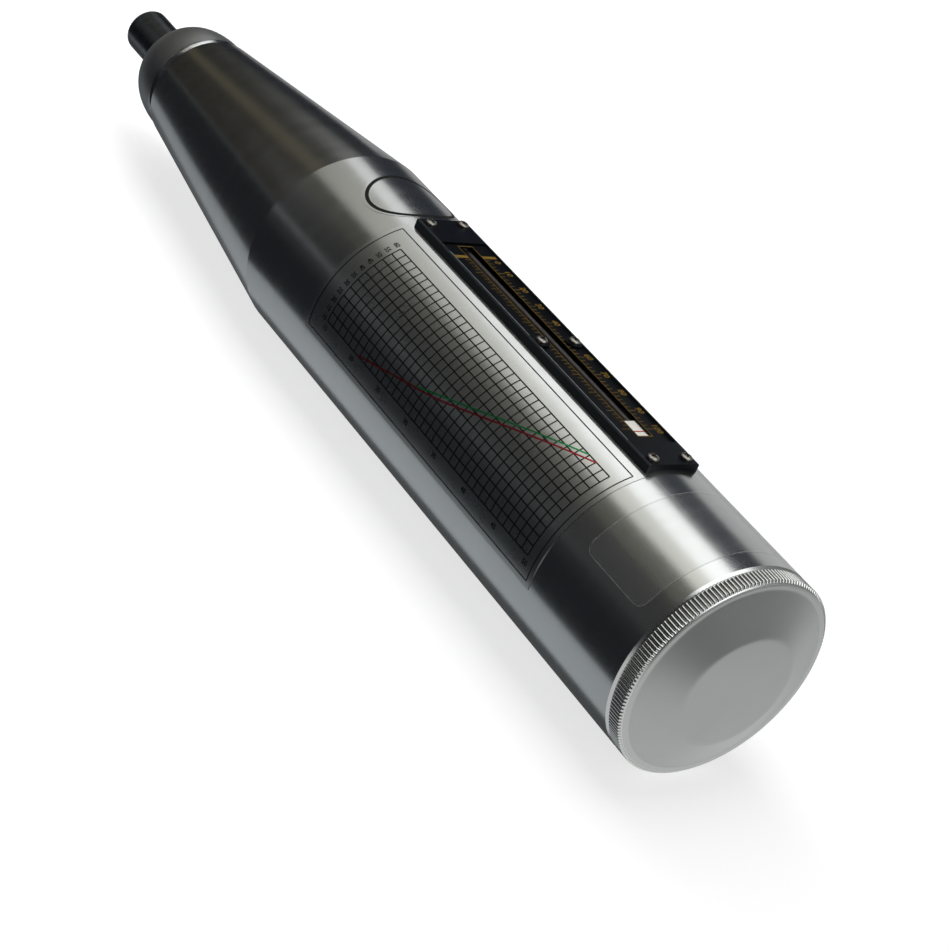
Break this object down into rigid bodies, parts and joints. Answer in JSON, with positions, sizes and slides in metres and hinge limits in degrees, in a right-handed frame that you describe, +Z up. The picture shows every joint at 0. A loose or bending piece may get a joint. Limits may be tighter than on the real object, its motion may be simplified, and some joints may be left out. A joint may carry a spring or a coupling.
{
  "type": "concrete test hammer",
  "caption": "Spring-driven rebound hammer for testing concrete: turned barrel with tapered front, sliding plunger, knurled rear cap and a slotted top scale with a sliding pointer.",
  "frame": {"origin": "middle of the flat disc on the rear cap", "axes": "+Y along the barrel towards the plunger, +Z up through the scale, +X to the lock button's side"},
  "size_m": [0.0652, 0.3119, 0.0595],
  "materials": {
    "barrel_aluminium": "satin turned",
    "cap_aluminium": "satin, straight knurl",
    "nose_steel": "dark polished",
    "plunger_steel": "ground, darkened",
    "mechanism_steel": "turned and ground",
    "spring_steel": "drawn wire",
    "nickel_steel": "nickel plated",
    "black_frame": "black anodised",
    "black_scale": "black with dull gold marks",
    "ivory_plastic": "ivory with a red line",
    "felt": "pressed felt",
    "brass_leaf": "sheet",
    "label_foil": "printed foil",
    "clear_film": "clear film"
  },
  "bodies": {
    "barrel": {"housing": "barrel_aluminium", "rear_cap": "cap_aluminium", "zero_screw": "mechanism_steel", "lock_nut": "mechanism_steel", "nose_cap": "nose_steel", "snap_ring": "mechanism_steel", "felt_seal": "felt", "spring_seat": "mechanism_steel", "impact_spring": "spring_steel", "return_spring": "spring_steel", "button_bush": "nickel_steel", "button_spring": "spring_steel", "scale_frame": "black_frame", "scale_plate": "black_scale", "frame_screws": "nickel_steel", "pointer_shaft": "mechanism_steel", "chart_label": "label_foil", "clear_label": "clear_film", "oval_label": "label_foil"},
    "rod": {"guide_rod": "mechanism_steel", "guide_flange": "mechanism_steel", "hook_pin": "mechanism_steel", "hook_spring": "spring_steel"},
    "plunger": {"plunger": "plunger_steel", "buffer_spring": "spring_steel"},
    "hammer": {"hammer_mass": "mechanism_steel"},
    "hook": {"hook": "mechanism_steel"},
    "pointer": {"pointer_block": "ivory_plastic", "pointer_leaf": "brass_leaf"},
    "button": {"lock_button": "nickel_steel"}
  },
  "joints": [
    {"name": "rod_slide", "type": "slide", "parent": "barrel", "child": "rod", "axis": [0, 1, 0], "range_m": [0, 0.075], "deforming": ["return_spring", "impact_spring"]},
    {"name": "plunger_buffer", "type": "slide", "parent": "rod", "child": "plunger", "axis": [0, -1, 0], "range_m": [0, 0.003], "stiffness_N_per_m": 1500, "deforming": ["buffer_spring"]},
    {"name": "hammer_slide", "type": "slide", "parent": "rod", "child": "hammer", "axis": [0, -1, 0], "range_m": [-0.075, 0], "deforming": ["impact_spring"]},
    {"name": "hook_pivot", "type": "hinge", "parent": "rod", "child": "hook", "pos_m": [0, 0.0396, -0.01], "axis": [1, 0, 0], "range_deg": [0, 8], "stiffness_Nm_per_rad": 0.15, "deforming": ["hook_spring"]},
    {"name": "pointer_slide", "type": "slide", "parent": "barrel", "child": "pointer", "axis": [0, 1, 0], "range_m": [0, 0.075]},
    {"name": "button_slide", "type": "slide", "parent": "barrel", "child": "button", "axis": [1, 0, 0], "range_m": [-0.0026, 0], "stiffness_N_per_m": 500, "deforming": ["button_spring"]}
  ]
}
